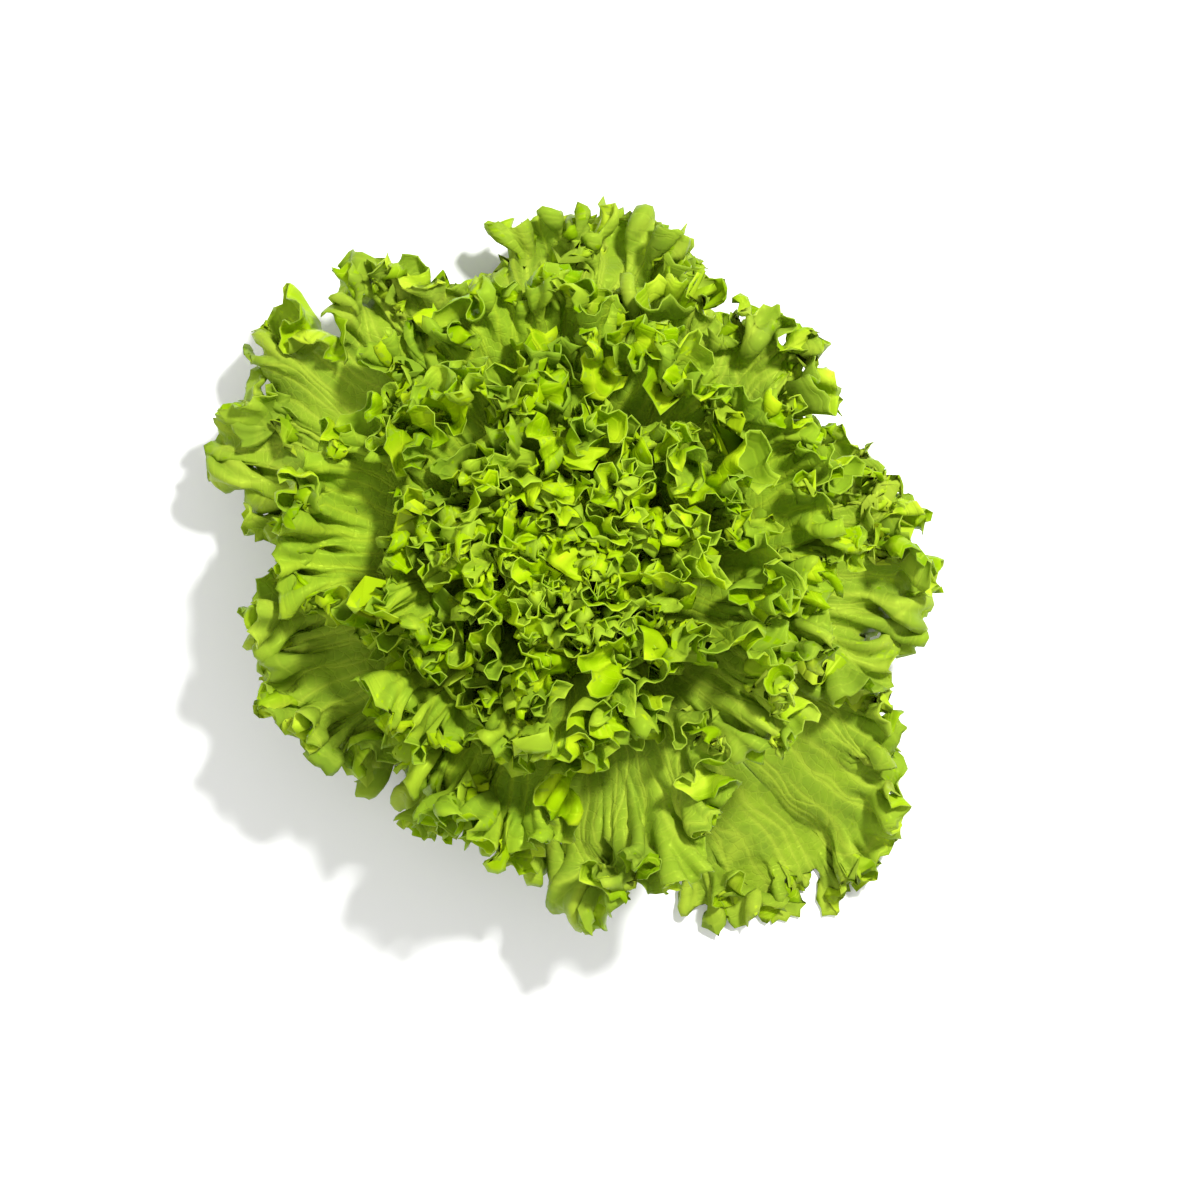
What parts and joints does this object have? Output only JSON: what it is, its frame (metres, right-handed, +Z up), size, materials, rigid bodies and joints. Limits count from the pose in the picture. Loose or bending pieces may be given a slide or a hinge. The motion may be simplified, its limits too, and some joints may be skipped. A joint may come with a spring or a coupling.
{
  "type": "lollo bionda lettuce head",
  "caption": "Loose rosette of frilled pale green lettuce leaves, nested round a short cut stem that it stands on.",
  "frame": {"origin": "on the surface it stands on, under the middle of the whole head seen from above", "axes": "+Z up along the stem, +X and +Y level"},
  "size_m": [0.285, 0.2812, 0.1228],
  "materials": {
    "stem": "moist pale stem flesh, cut across at the foot",
    "outer_leaf": "fresh leaf, satin, mid green",
    "middle_leaf": "fresh leaf, satin, yellow green",
    "heart_leaf": "young leaf, satin, pale yellow green"
  },
  "bodies": {
    "root": {"stem": "stem", "leaf_01": "outer_leaf", "leaf_02": "outer_leaf", "leaf_03": "outer_leaf", "leaf_04": "outer_leaf", "leaf_05": "outer_leaf", "leaf_06": "outer_leaf", "leaf_07": "outer_leaf", "leaf_08": "outer_leaf", "leaf_09": "outer_leaf", "leaf_10": "middle_leaf", "leaf_11": "middle_leaf", "leaf_12": "middle_leaf", "leaf_13": "middle_leaf", "leaf_14": "middle_leaf", "leaf_15": "middle_leaf", "leaf_16": "middle_leaf", "leaf_17": "middle_leaf", "leaf_18": "middle_leaf", "leaf_19": "middle_leaf", "leaf_20": "middle_leaf", "leaf_21": "middle_leaf", "leaf_22": "middle_leaf", "leaf_23": "middle_leaf", "leaf_24": "middle_leaf", "leaf_25": "heart_leaf", "leaf_26": "heart_leaf", "leaf_27": "heart_leaf", "leaf_28": "heart_leaf", "leaf_29": "heart_leaf", "leaf_30": "heart_leaf", "leaf_31": "heart_leaf", "leaf_32": "heart_leaf", "leaf_33": "heart_leaf", "leaf_34": "heart_leaf", "leaf_35": "heart_leaf", "leaf_36": "heart_leaf", "leaf_37": "heart_leaf", "leaf_38": "heart_leaf", "leaf_39": "heart_leaf", "leaf_40": "heart_leaf"}
  },
  "joints": []
}
